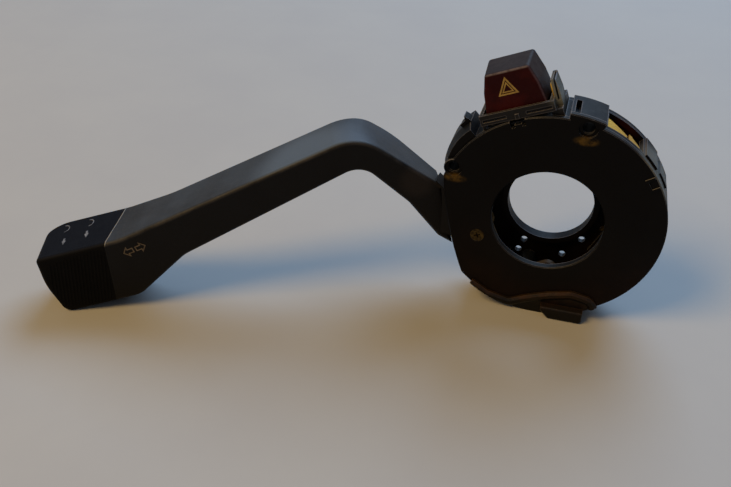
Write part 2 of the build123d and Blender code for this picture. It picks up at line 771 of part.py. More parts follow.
def detent_spring():
    """Coil spring between the bottom of the tail's bore and the plunger."""
    length = detent_plunger_start + 4 - detent_bore_start
    turn = math.radians(detent_angle)
    x, z = along_pivot(detent_bore_start + detent_spring_wire, detent_angle)
    axis = Plane(origin=(x, detent_centre, z), z_dir=(math.cos(turn), 0, math.sin(turn)))
    return axis * coil(detent_spring_radius, detent_spring_wire, detent_spring_turns, length - 2 * detent_spring_wire)


def detent_track():
    """Curved track on the back plate, with the notch that centres the stalk."""
    near = detent_reach + track_gap
    pivot = (pivot_x, pivot_z)
    start = detent_angle - track_half_angle
    outer = near + track_wall
    arc = make_face([
        Line(polar(near, start, pivot), polar(outer, start, pivot)),
        CenterArc(pivot, outer, start, 2 * track_half_angle),
        Line(polar(outer, start + 2 * track_half_angle, pivot), polar(near, start + 2 * track_half_angle, pivot)),
        CenterArc(pivot, near, start + 2 * track_half_angle, -2 * track_half_angle),
    ])
    notch = Pos(*along_pivot(near + track_notch_depth - detent_radius, detent_angle)) * Circle(detent_radius)
    return slab(arc & Circle(rim_inner_radius - seat_gap), -back_wall, track_front) - slab(
        notch, -back_wall, track_front)


def carrier_pivot_screw():
    """Recessed-head screw through the cover that the carrier swings on."""
    pivot = Pos(pivot_x, pivot_z)
    shank = slab(pivot * Circle(pivot_radius), -blind_floor - pin_gap, front_face + pivot_head_height)
    head = slab(pivot * Circle(pivot_head_radius), front_face + pivot_head_height, front_face)
    recess = Rectangle(2.6, 0.7) + Rectangle(0.7, 2.6)
    recess = pivot * Rot(0, 0, 20) * recess
    return shank + head - slab(recess, front_face + 0.9, front_face - 1)


def flash_pin():
    """Steel pin through the carrier's nose and the stalk's two prongs."""
    length = 2 * (carrier_nose_half_height + running_gap + prong_wall)
    return flash_pin_plane() * Cylinder(flash_pin_radius, length)


def flash_return_spring():
    """Leaf spring behind the nose that brings a pulled stalk back."""
    leaf = carrier_frame(box_outline(carrier_hub_radius + seat_gap, -1.8, prong_root - 0.5, 1.8))
    return slab(leaf, prong_rear + strip_thickness, prong_rear)


def turn_contact_bridge():
    """Brass bridge under the contact arm."""
    pad = Pos(pivot_x, pivot_z) * Pos(*contact_pad) * Rectangle(2 * (contact_pitch + contact_rivet_radius), 2.6)
    return slab(pad, contact_arm_rear + strip_thickness, contact_arm_rear)


def turn_fixed_contacts():
    """Three brass rivets on the back plate under the contact bridge."""
    rivets = Part()
    x, z = contact_pad
    for offset in (-contact_pitch, 0, contact_pitch):
        rivet = Pos(pivot_x, pivot_z) * Pos(x + offset, z) * Circle(contact_rivet_radius)
        rivets += slab(rivet, -back_wall, contact_arm_rear + strip_thickness + running_gap)
    return rivets


# ---------------------------------------------------------------- stalk
def stalk_plane(lift=0.0):
    """Upright plane of the stalk's front; its first axis runs out along the stalk."""
    turn = math.radians(stalk_plan_angle)
    out = Vector(-math.cos(turn), -math.sin(turn), 0)
    away = Vector(-math.sin(turn), math.cos(turn), 0)
    return Plane(origin=away * (stalk_front_offset + lift), x_dir=out, z_dir=away)


def stalk_plan():
    """Level plane whose second axis runs from the stalk's front to its back."""
    front = stalk_plane()
    return Plane(origin=front.origin, x_dir=front.x_dir, z_dir=(0, 0, -1))


def rounded_outline(*corners):
    """Closed outline from corners given as (x, y, radius)."""
    face = make_face(Polyline(*[(x, y) for x, y, radius in corners], close=True))
    for x, y, radius in corners:
        if radius > 0:
            corner = face.vertices().sort_by_distance((x, y, 0))[0]
            face = fillet(corner, radius)
    return face


def leg_top(reach):
    """Height of the outer leg's top edge at a reach."""
    fall = (crest_height - shoulder_height) / (shoulder_reach - crest_reach)
    return crest_height - fall * (reach - crest_reach)


def stalk_outline():
    """Front view of the stalk: short rising leg, crest, long falling leg and the paddle."""
    return rounded_outline(
        (root_reach, root_top_height, 0),
        (crest_reach, crest_height, crest_round),
        (shoulder_reach, shoulder_height, 40),
        (tip_reach, tip_height, 2.2),
        (tip_reach - tip_belly, tip_belly_height, 30),
        (toe_reach, -ring_radius - toe_drop, 4.0),
        (heel_reach, leg_top(heel_reach) - paddle_section, 9.0),
        (throat_reach, leg_top(throat_reach) - throat_section, 16.0),
        (crest_reach - 1.2, crest_height - crest_section, inner_crest_round),
        (kink_reach, kink_height, 8.0),
        (ring_radius + root_bulge_reach, root_bulge_height, 8.0),
        (root_bottom_reach, root_bottom_height, 0),
    )


def stalk_block():
    """Whole stalk with its paddle, before the end cap is parted off."""
    profile = extrude(stalk_plane() * stalk_outline(), amount=paddle_depth)
    plan = rounded_outline(
        (root_bottom_reach - 2, 0, 0),
        (root_bottom_reach - 2, neck_depth, 0),
        (hump_reach, hump_depth, 14),
        (hump_reach + hump_length, stalk_depth, 30),
        (throat_reach + 4, stalk_depth, 30),
        (heel_reach + 6, paddle_depth - 0.01, 30),
        (tip_reach, paddle_depth - 0.01, paddle_corner_round),
        (tip_reach, 0, 0),
    )
    block = profile & extrude(stalk_plan() * plan, amount=2 * ring_radius, both=True)
    return fillet([edge for edge in block.edges() if edge.length > 3 and is_front_ridge(edge)], stalk_edge_round)


def is_front_ridge(edge):
    """True for the edges round the stalk's front face, outside the ring."""
    middle = stalk_plane().to_local_coords(edge @ 0.5)
    return middle.X > root_bottom_reach + stalk_edge_round and middle.Z < stalk_edge_round


def cap_cutter():
    """Everything beyond the line where the end cap parts from the stalk."""
    turn = math.radians(cap_lean)
    size = 4 * ring_radius
    face = box_outline(0, -size, size, size)
    plane = stalk_plan() * Plane(origin=(cap_reach, 0, 0), x_dir=(math.cos(turn), math.sin(turn), 0))
    return extrude(plane * face, amount=size, both=True)


def lever_stalk():
    """Stalk with the web and the two prongs that straddle the carrier's nose."""
    body = stalk_block() - cap_cutter()
    inner = prong_root - 2.5
    outer = carrier_nose_half_height + running_gap + prong_wall
    upper = along_pivot(math.hypot(inner, outer), carrier_nose_angle - math.degrees(math.atan2(outer, inner)))
    lower = along_pivot(math.hypot(inner, outer), carrier_nose_angle + math.degrees(math.atan2(outer, inner)))
    corners = [(pivot_x + x, pivot_z + z) for x, z in (web_top, web_far, web_low)]
    web = make_face(Polyline(upper, *corners, lower, close=True))
    body += slab(web, prong_rear, prong_front)
    for side in (-1, 1):
        near = carrier_nose_half_height + running_gap
        prong = box_outline(prong_start, min(side * near, side * outer), prong_root, max(side * near, side * outer))
        body += slab(carrier_frame(prong), prong_rear, prong_front)
    return body - flash_pin_plane() * Cylinder(flash_pin_radius + pin_gap, 4 * outer)


def lever_end_cap():
    """Paddle cap that closes the end of the stalk."""
    return stalk_block() & cap_cutter()


# ---------------------------------------------------------------- contacts, plug and pawl
def contact_block():
    """Moulded block inside the rim that holds the contact strips behind the window."""
    start = contact_block_start_angle
    end = contact_block_end_angle
    outer = rim_inner_radius - seat_gap
    floor = ring_sector(contact_block_inner_radius, outer, start, end)
    block = slab(floor, contact_block_front + contact_block_wall, contact_block_front)
    for angle in (start, end - 3):
        foot = ring_sector(contact_block_inner_radius + 2, outer - 6, angle, angle + 3)
        block += slab(foot, -back_wall, contact_block_front)
    return block


def contact_strips():
    """Brass strips that stand in the window, each tapered and with a leg on the contact block."""
    strips = Part()
    outer = ring_radius - strip_thickness
    front = window_front + window_gap
    for start, end, wide_rear, narrow_rear in strip_places:
        middle = math.radians((start + end) / 2)
        half = ring_radius * math.sin(math.radians(end - start) / 2)
        taper = make_face(Polyline((-half, front), (-half, wide_rear), (half, narrow_rear), (half, front), close=True))
        outward = Plane(origin=(0, 0, 0), x_dir=(math.sin(middle), 0, -math.cos(middle)),
                        z_dir=(math.cos(middle), 0, math.sin(middle)))
        band = slab(ring_sector(outer - strip_thickness, outer, start, end), 0, front_face)
        strips += band & extrude(outward * taper, amount=2 * ring_radius)
        leg = ring_sector(rim_inner_radius - 6, outer, end - 2, end)
        strips += slab(leg, contact_block_front, contact_block_front - strip_thickness)
    return strips


def plug_place(outline):
    """Outline moved to the plug's place, as seen by the driver."""
    return on_ring(Rot(0, 0, plug_centre_angle) * outline, plug_centre_radius, plug_centre_angle)


def plug_shape(inset, rear, front):
    """Rectangular bar through the back plate where the plug's base sits."""
    outline = Rectangle(2 * (plug_half_width - inset), 2 * (plug_half_length - inset))
    return slab(plug_place(outline), rear, front)


def plug_housing():
    """Shroud on the back for the loom's plug, with a floor that carries the blades."""
    outline = RectangleRounded(2 * plug_half_width, 2 * plug_half_length, 1.0)
    inner = RectangleRounded(2 * (plug_half_width - plug_wall), 2 * (plug_half_length - plug_wall), 0.6)
    shroud = slab(plug_place(outline), plug_depth, -back_wall)
    shroud -= slab(plug_place(inner), plug_depth + 1, -back_wall + plug_wall)
    flange = slab(plug_place(RectangleRounded(2 * plug_half_width + 3, 2 * plug_half_length + 3, 1.5)),
                  -back_wall, -back_wall - plug_wall)
    shroud += flange
    return shroud - blade_set(seat_gap, -back_wall + plug_wall + 1, -back_wall - 2 * plug_wall)


def blade_set(clearance, rear, front):
    """The plug's rows of flat blades, each with a clearance round it."""
    blades = Part()
    for row in range(blade_rows):
        for column in range(blade_columns):
            x = (row - (blade_rows - 1) / 2) * blade_pitch
            z = (column - (blade_columns - 1) / 2) * blade_pitch
            outline = Rectangle(blade_thickness + 2 * clearance, blade_width + 2 * clearance)
            blades += slab(plug_place(Pos(x, z) * outline), rear, front)
    return blades


def terminal_blades():
    """Flat blades of the plug."""
    return blade_set(0, blade_length - 1, -back_wall - 2 * plug_wall)


def cancel_pawl():
    """Pawl whose tip stands in the column opening, where the cancelling cam knocks it."""
    hub = Pos(pawl_pivot_x, pawl_pivot_z) * Circle(pawl_hub_radius)
    tip = Pos(pawl_tip_x, pawl_tip_z) * Circle(pawl_tip_radius)
    body = slab(make_hull(hub.edges() + tip.edges()), pawl_rear, pawl_front)
    peg = Pos(*pawl_peg()) * Circle(pawl_peg_radius)
    body += slab(peg, pawl_rear + 2, pawl_rear)
    return body - slab(Pos(pawl_pivot_x, pawl_pivot_z) * Circle(pawl_pin_radius + pin_gap), 1, front_face)


def pawl_peg():
    """Place of the peg that the pawl's spring pushes on."""
    return (pawl_pivot_x + (pawl_tip_x - pawl_pivot_x) * pawl_peg_share,
            pawl_pivot_z + (pawl_tip_z - pawl_pivot_z) * pawl_peg_share)


def pawl_pin():
    """Steel pin that the pawl swings on."""
    pin = Pos(pawl_pivot_x, pawl_pivot_z) * Circle(pawl_pin_radius)
    head = Pos(pawl_pivot_x, pawl_pivot_z) * Circle(pawl_pin_radius + 0.8)
    return slab(pin, -blind_floor - pin_gap, pawl_front - 0.2) + slab(head, pawl_front - 0.2, pawl_front - 0.8)


def pawl_spring():
    """Wire spring round the pawl's stub; one leg bears on the peg and one on a fixing boss."""
    radius = pawl_hub_radius + pawl_spring_wire / 2 + seat_gap
    pivot = (pawl_pivot_x, pawl_pivot_z)
    peg = pawl_peg()
    to_peg = math.degrees(math.atan2(peg[1] - pivot[1], peg[0] - pivot[0]))
    leg = math.hypot(peg[0] - pivot[0], peg[1] - pivot[1])
    start = polar(radius, to_peg - 90, pivot)
    leg_end = (start[0] + leg * math.cos(math.radians(to_peg)), start[1] + leg * math.sin(math.radians(to_peg)))
    arc = CenterArc(pivot, radius, to_peg - 90, -230)
    foot_angle = to_peg - 90 - 230 - 90
    foot = arc @ 1 + Vector(math.cos(math.radians(foot_angle)), math.sin(math.radians(foot_angle))) * 7
    path = ring_plane(pawl_rear + 1.0) * Wire([Line(leg_end, start), arc, Line(arc @ 1, foot)])
    section = Plane(origin=path @ 0, z_dir=path % 0) * RegularPolygon(pawl_spring_wire / 2, 6)
    return sweep(section, path=path)


# ---------------------------------------------------------------- the parts
black = (0.05, 0.05, 0.055)
dark_red = (0.25, 0.03, 0.03)
brass = (0.72, 0.56, 0.27)
steel = (0.55, 0.55, 0.57)
cream = (0.75, 0.72, 0.62)
clear = (0.85, 0.88, 0.9)

sub_parts = {
    "rear_plate": (rear_plate, black),
    "rear_housing": (rear_housing, black),
    "front_cover": (front_cover, black),
    "lower_apron": (lower_apron, black),
    "side_panel": (side_panel, black),
    "retaining_clip": (retaining_clip, black),
    "hazard_socket": (hazard_socket, black),
    "hazard_knob": (hazard_knob, dark_red),
    "hazard_plunger": (hazard_plunger, cream),
    "hazard_return_spring": (hazard_return_spring, steel),
    "hazard_latch_pin": (hazard_latch_pin, steel),
    "hazard_contact_bridge": (hazard_contact_bridge, brass),
    "hazard_fixed_contacts": (hazard_fixed_contacts, brass),
    "indicator_lamp": (indicator_lamp, clear),
    "lamp_contact_strip": (lamp_contact_strip, brass),
    "turn_carrier": (turn_carrier, cream),
    "carrier_pivot_screw": (carrier_pivot_screw, brass),
    "detent_plunger": (detent_plunger, cream),
    "detent_spring": (detent_spring, steel),
    "detent_track": (detent_track, black),
    "turn_contact_bridge": (turn_contact_bridge, brass),
    "turn_fixed_contacts": (turn_fixed_contacts, brass),
    "lever_stalk": (lever_stalk, black),
    "lever_end_cap": (lever_end_cap, black),
    "flash_pin": (flash_pin, steel),
    "flash_return_spring": (flash_return_spring, steel),
    "contact_block": (contact_block, black),
    "contact_strips": (contact_strips, brass),
    "plug_housing": (plug_housing, black),
    "terminal_blades": (terminal_blades, brass),
    "cancel_pawl": (cancel_pawl, cream),
    "pawl_pin": (pawl_pin, steel),
    "pawl_spring": (pawl_spring, steel),
}

for node, (make, colour) in sub_parts.items():
    named(node, make(), colour)
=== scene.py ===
"""Looks of the combination stalk switch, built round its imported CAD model.

Every length is in millimetres until a piece or a pattern is made, and then it becomes metres. The tabletop and
the lights are in metres from the start.
"""

import json
import math

import bmesh
import bpy
from mathutils import Matrix, Vector


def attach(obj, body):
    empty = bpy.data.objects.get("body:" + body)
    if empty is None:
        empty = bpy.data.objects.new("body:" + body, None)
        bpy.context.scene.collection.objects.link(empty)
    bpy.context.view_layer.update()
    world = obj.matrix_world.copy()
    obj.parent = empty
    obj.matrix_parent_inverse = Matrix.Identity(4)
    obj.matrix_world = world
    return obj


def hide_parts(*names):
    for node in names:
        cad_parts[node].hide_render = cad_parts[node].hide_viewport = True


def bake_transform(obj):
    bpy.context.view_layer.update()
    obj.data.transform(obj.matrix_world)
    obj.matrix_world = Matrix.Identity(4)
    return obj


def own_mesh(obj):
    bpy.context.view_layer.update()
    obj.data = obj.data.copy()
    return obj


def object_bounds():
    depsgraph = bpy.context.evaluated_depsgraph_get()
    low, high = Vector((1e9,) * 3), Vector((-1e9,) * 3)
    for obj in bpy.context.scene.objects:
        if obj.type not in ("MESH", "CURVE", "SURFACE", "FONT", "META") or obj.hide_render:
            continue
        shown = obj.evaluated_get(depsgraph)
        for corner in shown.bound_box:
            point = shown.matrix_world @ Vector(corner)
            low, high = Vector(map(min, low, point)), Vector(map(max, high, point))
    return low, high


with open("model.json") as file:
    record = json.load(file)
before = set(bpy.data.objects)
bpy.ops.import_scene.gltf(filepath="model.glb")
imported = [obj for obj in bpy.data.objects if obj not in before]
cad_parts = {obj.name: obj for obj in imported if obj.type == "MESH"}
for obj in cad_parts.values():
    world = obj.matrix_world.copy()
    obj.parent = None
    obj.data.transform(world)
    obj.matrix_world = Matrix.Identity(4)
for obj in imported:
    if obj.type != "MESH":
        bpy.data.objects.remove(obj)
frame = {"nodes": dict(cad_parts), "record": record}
cad_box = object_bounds()
nodes = frame["nodes"]
MM = 0.001

# ---------------------------------------------------------------- sizes and places on the real switch
# A spot is its middle, its reach and, where it isn't round, its share of the reach along each axis.
ring_radius = 44.0
ear_crescents = [((x, -20.0, z), 5.4, (1.0, 1.0, 0.42)) for x, z in ((9.4, 36.2), (-37.2, 13.6))]
opening_shade = ((0.0, -18.5, -8.0), 36.0, (1.0, 0.12, 1.0))
window_floor = ((22.0, -6.0, 35.0), 9.0, (1.0, 0.6, 1.0))
rim_painted_highlight = ((36.5, -15.0, 25.0), 15.0)
foot_top, apron_bottom = -40.5, -37.5

hazard_angle = 111.0
knob_front_low = (47.8, -17.4)
knob_front_high = (62.2, -17.1)
knob_corner = ((-14.6, -16.8, 59.8), 4.0)
bracket_lit_face = ((-2.8, -13.0, 53.0), 9.0)

stalk_plan_angle = 24.0
stalk_front_offset = 3.5
stalk_sheen_run = ((-90.0, -36.0, 17.0), 30.0)
stalk_leg_top = ((-45.0, -12.0, 18.0), 30.0)
stalk_leg_front = ((-51.0, -22.0, 9.0), 10.0)
paddle_top_start = (176.0, -10.1)
paddle_top_end = (210.0, -17.3)
seam_width, seam_height = 0.42, 0.07
ink_height, ink_sink = 0.06, 0.03

same_point = 1e-6

forward = Vector((0, -1, 0))
upward = Vector((0, 0, 1))
hazard_turn = math.radians(hazard_angle)
hazard_out = Vector((math.cos(hazard_turn), 0, math.sin(hazard_turn)))
hazard_across = Vector((math.sin(hazard_turn), 0, -math.cos(hazard_turn)))
stalk_turn = math.radians(stalk_plan_angle)
stalk_out = Vector((-math.cos(stalk_turn), -math.sin(stalk_turn), 0))
stalk_back = Vector((-math.sin(stalk_turn), math.cos(stalk_turn), 0))


# ---------------------------------------------------------------- colours, nodes and patterns
def colour(hex_text):
    """An sRGB hex colour as linear values."""
    shares = [int(hex_text[i:i + 2], 16) / 255 for i in (1, 3, 5)]
    return (*[c / 12.92 if c <= 0.04045 else ((c + 0.055) / 1.055) ** 2.4 for c in shares], 1.0)


def add(tree, kind, **settings):
    """Adds one node and gives its outputs.

    A setting is a property, or an input by its name with _ for a space, or by in and its number. Its value is
    set, or linked where it comes from another node.
    """
    node = tree.nodes.new(kind)
    for key, value in settings.items():
        if hasattr(node, key):
            setattr(node, key, value)
            continue
        socket = node.inputs[int(key[2:]) if key[2:].isdigit() else key.replace("_", " ")]
        if isinstance(value, bpy.types.NodeSocket):
            tree.links.new(value, socket)
        else:
            socket.default_value = value
    return node.outputs


def blank_material(name, **finish):
    """Material with its shader's plain settings, its node tree and the object coordinates its patterns read."""
    material = bpy.data.materials.new(name)
    material.use_nodes = True
    tree = material.node_tree
    tree.nodes.clear()
    surface = add(tree, "ShaderNodeBsdfPrincipled", **finish)[0]
    add(tree, "ShaderNodeOutputMaterial", Surface=surface)
    return material, tree, surface.node, add(tree, "ShaderNodeTexCoord")["Object"]


def patches(tree, place, width, low=0.35, high=0.65, detail=4.0):
    """Uneven patches about width mm across, rising from 0 to 1 between two levels of a noise."""
    cloud = add(tree, "ShaderNodeTexNoise", Scale=1 / (width * MM), Detail=detail, Roughness=0.6, Vector=place)[0]
    return add(tree, "ShaderNodeMapRange", From_Min=low, From_Max=high, Value=cloud)[0]


def facing(tree, direction, start, full):
    """How far the surface faces a direction: 0 below one cosine to it and 1 above another."""
    normal = add(tree, "ShaderNodeNewGeometry")["Normal"]
    alike = add(tree, "ShaderNodeVectorMath", operation="DOT_PRODUCT", in0=normal, in1=direction)["Value"]
    return add(tree, "ShaderNodeMapRange", From_Min=start, From_Max=full, Value=alike)[0]


def turning_edge(tree, first, second):
    """1 along the rounded edge where a surface turns from one direction to another."""
    start, full = 0.3, 0.62
    return add(tree, "ShaderNodeMath", operation="MINIMUM", in0=facing(tree, first, start, full),
               in1=facing(tree, second, start, full))[0]


def edge_wear_and_highlight(tree, reach):
    """1 on corners and edges, out to about reach mm, where hands rub and dust catches, and where the materials paint
    edge highlights.
    """
    flat, sharp = 0.985, 0.86
    rounded = add(tree, "ShaderNodeBevel", samples=8, Radius=reach * MM)[0]
    normal = add(tree, "ShaderNodeNewGeometry")["Normal"]
    alike = add(tree, "ShaderNodeVectorMath", operation="DOT_PRODUCT", in0=rounded, in1=normal)["Value"]
    return add(tree, "ShaderNodeMapRange", From_Min=flat, From_Max=sharp, Value=alike)[0]


def near_point(tree, place, point, reach, stretch=(1.0, 1.0, 1.0)):
    """1 round a point, given in mm, fading to 0 at reach mm; stretch is the share of the reach along each axis."""
    edge, core = 1.0, 0.45
    size = [reach * MM * share for share in stretch]
    local = add(tree, "ShaderNodeMapping", vector_type="TEXTURE", Location=[c * MM for c in point], Scale=size,
                Vector=place)[0]
    away = add(tree, "ShaderNodeVectorMath", operation="LENGTH", in0=local)["Value"]
    return add(tree, "ShaderNodeMapRange", interpolation_type="SMOOTHSTEP", From_Min=edge, From_Max=core,
               Value=away)[0]


def layered(tree, shader, under, layers):
    """Base colour: each layer is a colour laid over the ones under it, as thick as the product of its masks."""
    for over, *masks in layers:
        cover = masks[0]
        for mask in masks[1:]:
            cover = add(tree, "ShaderNodeMath", operation="MULTIPLY", in0=cover, in1=mask)[0]
        under = add(tree, "ShaderNodeMix", data_type="RGBA", in0=cover, in6=under, in7=over)[2]
    tree.links.new(under, shader.inputs["Base Color"])


def worn_skin(tree, shader, cover, polished, dull, height, depth):
    """Roughness that goes from polished to dull as one mask rises, and the fine relief of another, depth mm deep."""
    gloss = add(tree, "ShaderNodeMapRange", Value=cover, To_Min=polished, To_Max=dull)
    relief = add(tree, "ShaderNodeBump", Strength=1.0, Distance=depth * MM, Height=height)
    tree.links.new(gloss[0], shader.inputs["Roughness"])
    tree.links.new(relief[0], shader.inputs["Normal"])


# ---------------------------------------------------------------- materials
def ring_abs():
    """Black ABS, injection moulded: near-black and half matt, browner towards the bottom, with a painted blue sheen
    and dust on faces that look up, painted highlights on the rim and its upper edges, and painted shade round the
    opening.
    """
    material, tree, shader, place = blank_material("black_moulded_abs_ring", IOR=1.5, Specular_IOR_Level=0.1)
    level = add(tree, "ShaderNodeSeparateXYZ", in0=place)[2]
    low = add(tree, "ShaderNodeMapRange", From_Min=0.0, From_Max=-ring_radius * MM, Value=level)[0]
    fine = patches(tree, place, 1.3, 0.42, 0.7, 6)
    up = facing(tree, upward, 0.2, 0.75)
    layers = [
        # browner towards the bottom in patches; then a painted blue sheen on faces that look up
        (colour("#1c0f06"), low, patches(tree, place, 22)), (colour("#0c1018"), up, 0.9),
        # more painted blue sheen in patches, and fine grey dust specks on faces that look up
        (colour("#1f252e"), up, patches(tree, place, 9, 0.4, 0.65), 0.4), (colour("#4c4c4c"), up, fine, 0.12),
        # painted pale highlight on the rim's upper right
        (colour("#74736c"), near_point(tree, place, *rim_painted_highlight), facing(tree, upward, 0.0, 0.5), 0.8),
        # painted shade round the opening
        (colour("#0c0a09"), near_point(tree, place, *opening_shade), 0.9),
        (colour("#2a0a04"), near_point(tree, place, *window_floor), 0.9),
        # pale edges that look up: rubbed and dusty, with a painted highlight
        (colour("#7c7a80"), edge_wear_and_highlight(tree, 0.6), facing(tree, upward, 0.1, 0.5), 0.9)]
    # golden-brown crescents at the two ear holes
    for crescent in ear_crescents:
        layers.append((colour("#5b4519"), near_point(tree, place, *crescent), patches(tree, place, 2.4, 0.3, 0.6), 0.85))
    layered(tree, shader, colour("#050302"), layers)
    # spark-eroded grain of about 0.15 mm, drawn at 0.45 mm so that it shows
    worn_skin(tree, shader, patches(tree, place, 12), 0.4, 0.58, patches(tree, place, 0.45, 0.2, 0.8), 0.03)
    return material


def greased_abs():
    """The apron's black ABS under a skin of old brown grease, shaded in paint: the brown grows as a face turns up,
    and a painted amber highlight runs along the edges that look up.
    """
    material, tree, shader, place = blank_material("black_abs_under_old_grease", IOR=1.5, Specular_IOR_Level=0.2)
    thick = patches(tree, place, 6, 0.36, 0.62)
    level = add(tree, "ShaderNodeSeparateXYZ", in0=place)[2]
    above_foot = add(tree, "ShaderNodeMapRange", From_Min=foot_top * MM, From_Max=apron_bottom * MM, Value=level)[0]
    layered(tree, shader, colour("#080502"), [
        # brown grease, painted lighter as a face turns up and left black, as painted shade, on faces that look down
        (colour("#352008"), facing(tree, upward, -0.35, 0.45), thick, above_foot),
        # painted amber highlight along the edges that look up
        (colour("#5c4020"), edge_wear_and_highlight(tree, 0.7), facing(tree, upward, 0.0, 0.6), above_foot),
        (colour("#1d1a17"), facing(tree, upward, 0.5, 0.9), 0.6)])
    # patches of grease about 6 mm across, with lumps of about 1.2 mm
    worn_skin(tree, shader, thick, 0.5, 0.3, patches(tree, place, 1.2), 0.06)
    return material


def stalk_abs():
    """Black ABS with a satin skin: nearly black in shade, with a painted slate-blue sheen on top, painted duller on
    the first leg, a painted brown-grey highlight along its ridge and dust specks.
    """
    material, tree, shader, place = blank_material("black_satin_abs_stalk", IOR=1.52, Specular_IOR_Level=0.17)
    top = facing(tree, upward, 0.6, 0.95)
    cloud = patches(tree, place, 30, 0.38, 0.62, 3)
    specks = patches(tree, place, 0.9, 0.55, 0.75, 6)
    layered(tree, shader, colour("#070403"), [
        # painted brown-grey highlight along the ridge between front and top, broken in patches
        (colour("#3f3c3b"), facing(tree, upward, 0.1, 0.5), patches(tree, place, 8, 0.3, 0.65), 0.8),
        # painted slate-blue sheen on top, in patches, with dust specks
        (colour("#2c3139"), top, 0.9), (colour("#424c5a"), top, cloud, 0.6), (colour("#6f6a66"), top, specks, 0.3),
        # brighter painted sheen along one stretch of the top
        (colour("#5c6b7e"), near_point(tree, place, *stalk_sheen_run), top, 0.95),
        # painted duller, greyer sheen on the first leg's top
        (colour("#2a2724"), near_point(tree, place, *stalk_leg_top), top, 0.7),
        (colour("#3a3029"), near_point(tree, place, *stalk_leg_front), 0.3),
        (colour("#3a342e"), patches(tree, place, 0.8, 0.62, 0.8, 6), 0.25)])
    # leather-like grain of about 0.3 mm, drawn at 0.6 mm so that it shows
    worn_skin(tree, shader, patches(tree, place, 18), 0.42, 0.56, patches(tree, place, 0.6, 0.25, 0.75), 0.045)
    return material


def cap_abs():
    """Black ABS of the end cap: a finer, darker grain than the stalk's, with a painted cold-blue sheen and dust
    specks on top.
    """
    material, tree, shader, place = blank_material("black_fine_abs_cap", IOR=1.5, Specular_IOR_Level=0.08)
    up = facing(tree, upward, 0.4, 0.95)
    layered(tree, shader, colour("#070503"), [
        # painted cold-blue sheen on faces that look up, with dust specks
        (colour("#0d111b"), up, 0.9), (colour("#33363a"), up, patches(tree, place, 0.8, 0.58, 0.8, 6), 0.3)])
    # spark-eroded grain of about 0.15 mm, drawn at 0.45 mm so that it shows
    worn_skin(tree, shader, patches(tree, place, 10), 0.58, 0.72, patches(tree, place, 0.45), 0.03)
    return material


def seam_abs():
    """The joint between stalk and cap: flash pale on top, partly rubbed and partly a painted highlight, black down
    the sides.
    """
    material, tree, shader, place = blank_material("abs_flash_rubbed_and_highlit", IOR=1.5, Specular_IOR_Level=0.2)
    layered(tree, shader, colour("#0a0806"), [
        # pale top, partly rubbed flash and partly a painted highlight
        (colour("#918e8b"), facing(tree, upward, 0.15, 0.6), patches(tree, place, 5, 0.2, 0.5))])
    # torn flash, rough at about 0.4 mm
    worn_skin(tree, shader, patches(tree, place, 4), 0.4, 0.55, patches(tree, place, 0.4), 0.01)
    return material


def knob_acrylic():
    """Red transparent acrylic over a dark inside: deep blood red in front, browner on its right side, grey on top
    with dust and a painted sheen, painted highlights along the front edges and a rubbed front corner with a painted
    highlight.
    """
    material, tree, shader, place = blank_material("red_moulded_acrylic", IOR=1.49, Specular_IOR_Level=0.12)
    fine = patches(tree, place, 1.0, 0.45, 0.72, 6)
    highlight_patches = patches(tree, place, 2.2, 0.25, 0.55, 6)
    top = facing(tree, hazard_out, 0.5, 0.9)
    layered(tree, shader, colour("#270000"), [
        (colour("#3a0705"), patches(tree, place, 12, 0.4, 0.6)), (colour("#4a3436"), fine, 0.04),
        # browner on the right side; grey on top, dust and a painted sheen
        (colour("#2a1a19"), facing(tree, hazard_across, 0.3, 0.7), 0.9), (colour("#262226"), top, 0.92),
        (colour("#3a3238"), facing(tree, upward, 0.15, 0.55), fine, 0.3),
        # painted pale highlights along the front's top and right edges, broken in patches
        (colour("#79717e"), turning_edge(tree, forward, hazard_out), highlight_patches, 0.7),
        (colour("#5b444c"), turning_edge(tree, forward, hazard_across), highlight_patches, 0.8),
        # rubbed pale front corner with a painted highlight on it
        (colour("#c9b5ad"), edge_wear_and_highlight(tree, 1.3), near_point(tree, place, *knob_corner))])
    # scuffs of about 0.2 mm, drawn at 0.8 mm so that they show
    worn_skin(tree, shader, patches(tree, place, 5), 0.42, 0.58, patches(tree, place, 0.8, 0.3, 0.8, 6), 0.02)
    return material


def socket_abs():
    """Black ABS of the socket and bracket: dusty grey on top, with painted light on the bracket's face and pale lips
    that look up, rubbed and with a painted highlight.
    """
    material, tree, shader, place = blank_material("black_moulded_abs_socket", IOR=1.5, Specular_IOR_Level=0.25)
    up = facing(tree, upward, 0.1, 0.7)
    layered(tree, shader, colour("#0b0706"), [
        # painted light on the bracket's lit face
        (colour("#77786f"), near_point(tree, place, *bracket_lit_face), 0.9),
        (colour("#2c2c29"), up, 0.7), (colour("#5a544c"), up, patches(tree, place, 1.6, 0.45, 0.7, 6), 0.35),
        # pale lips that look up, rubbed and with a painted highlight
        (colour("#9c979e"), edge_wear_and_highlight(tree, 0.5), facing(tree, upward, -0.1, 0.3), 0.9)])
    # the same grain as on the ring, drawn at 0.5 mm
    worn_skin(tree, shader, patches(tree, place, 6), 0.42, 0.6, patches(tree, place, 0.5), 0.03)
    return material


